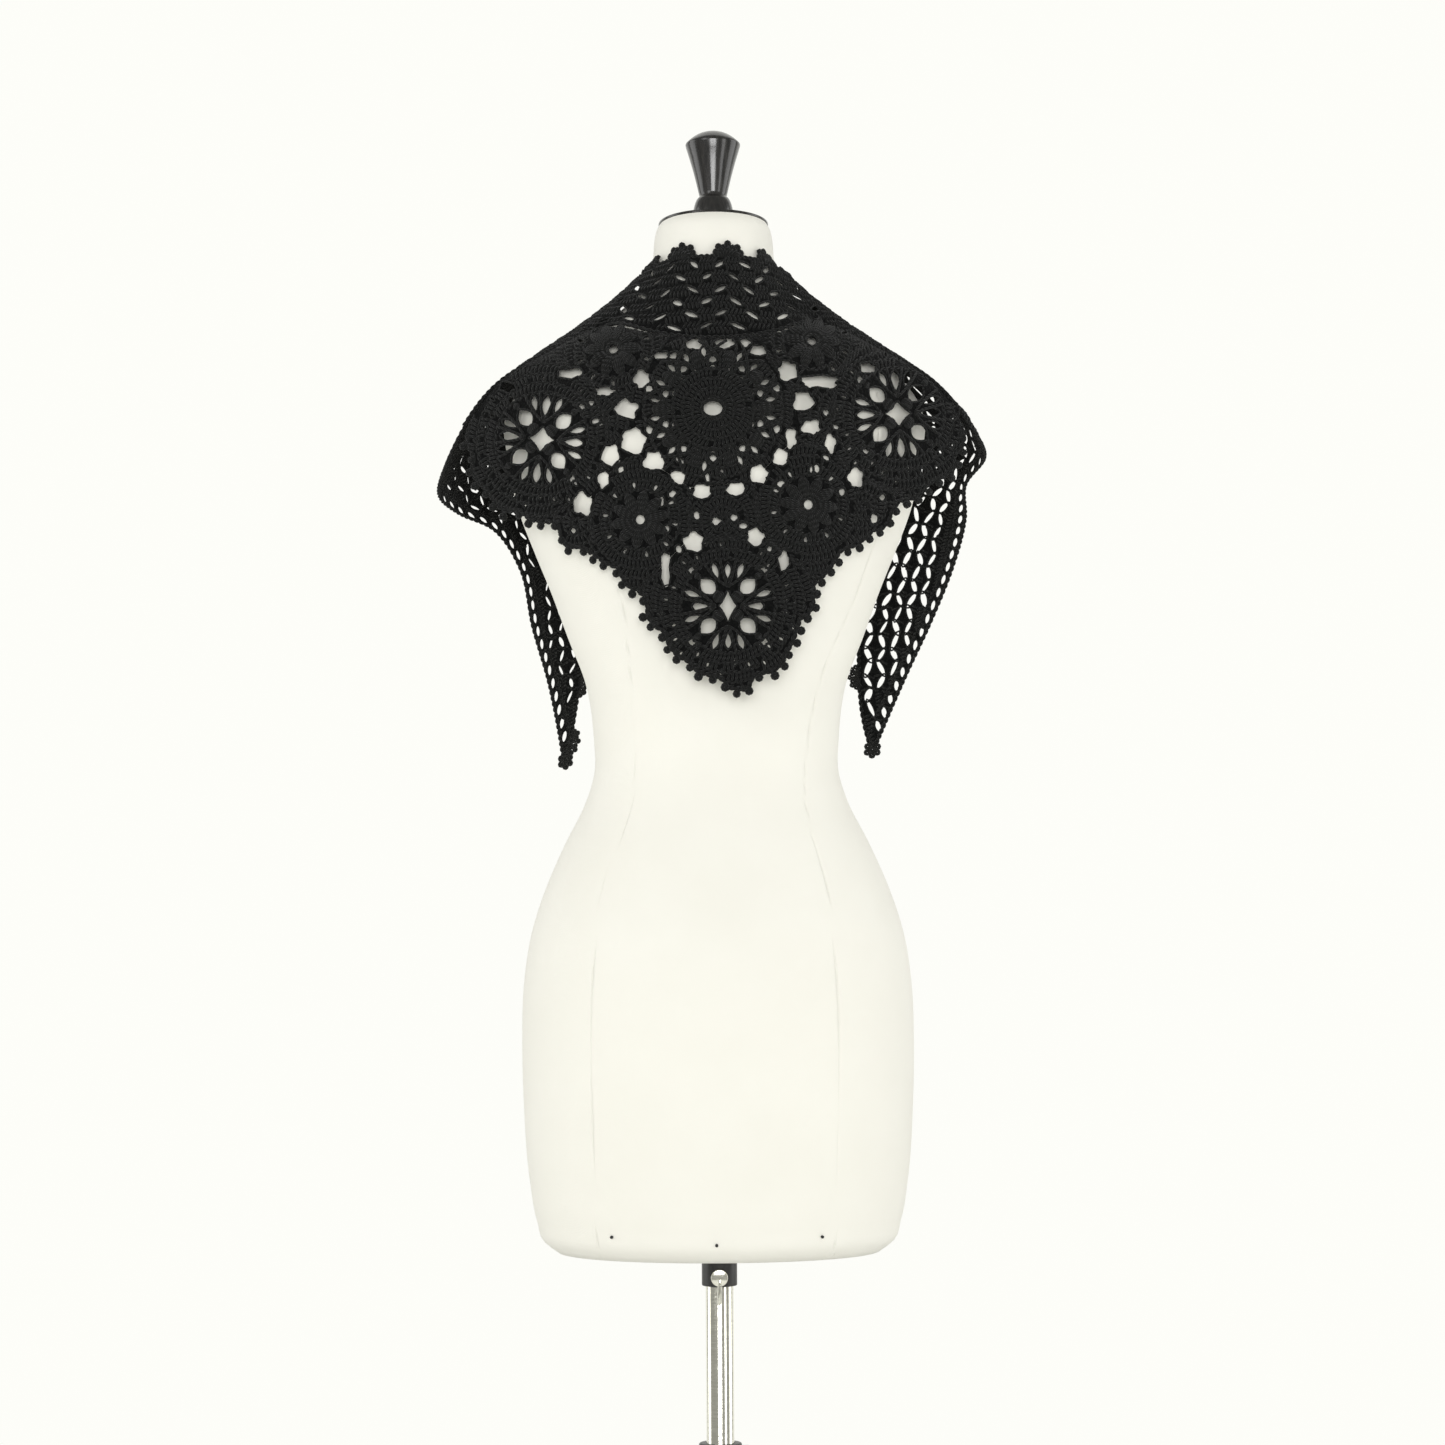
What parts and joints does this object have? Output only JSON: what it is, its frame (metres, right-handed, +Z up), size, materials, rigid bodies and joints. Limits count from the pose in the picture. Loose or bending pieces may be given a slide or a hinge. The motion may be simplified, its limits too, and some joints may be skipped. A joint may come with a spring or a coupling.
{
  "type": "lace shawl on a dress form and stand",
  "caption": "Open crochet shawl of joined lace motifs with a neck band and two hanging ends, draped over the shoulders of a limbless padded dress form on a round-based stand.",
  "frame": {"origin": "middle of the base's underside, on the floor under the pole", "axes": "+Z up along the pole, -Y towards the viewer behind the form, +X towards the wearer's right"},
  "size_m": [0.4734, 0.35, 1.5799],
  "materials": {
    "cotton": "heavy black crochet cotton, matte",
    "cover": "near-white ivory woven cover over foam",
    "lacquer": "turned wood under glossy black lacquer",
    "black_metal": "satin black paint",
    "chrome": "bright chrome",
    "pin": "dark steel pin"
  },
  "bodies": {
    "stand": {"base": "black_metal", "lower_tube": "chrome", "clamp_hub": "black_metal"},
    "column": {"pole": "chrome"},
    "form": {"torso": "cover", "neck_cap": "lacquer", "knob": "lacquer", "socket": "black_metal", "pin_left": "pin", "pin_middle": "pin", "pin_right": "pin", "neck_band": "cotton", "end_left": "cotton", "end_right": "cotton", "medallion": "cotton", "flower_left": "cotton", "flower_right": "cotton", "flower_tip": "cotton", "daisy_upper_left": "cotton", "daisy_upper_right": "cotton", "daisy_lower_left": "cotton", "daisy_lower_right": "cotton", "rosette_left": "cotton", "rosette_right": "cotton", "rosette_centre": "cotton", "shell_left": "cotton", "shell_right": "cotton"},
    "collar_screw": {"collar_screw": "chrome"},
    "clamp_screw": {"clamp_screw": "chrome"}
  },
  "joints": [
    {"name": "height_slide", "type": "slide", "parent": "stand", "child": "column", "axis": [0, 0, 1], "range_m": [-0.1, 0.18]},
    {"name": "form_swivel", "type": "hinge", "parent": "column", "child": "form", "pos_m": [0, 0, 0.6], "axis": [0, 0, 1], "continuous": true},
    {"name": "collar_screw_turn", "type": "hinge", "parent": "form", "child": "collar_screw", "pos_m": [0, -0.018, 0.5965], "axis": [0, -1, 0], "range_deg": [-120, 120]},
    {"name": "clamp_screw_turn", "type": "hinge", "parent": "stand", "child": "clamp_screw", "pos_m": [0.03, 0, 0.443], "axis": [1, 0, 0], "continuous": true}
  ]
}
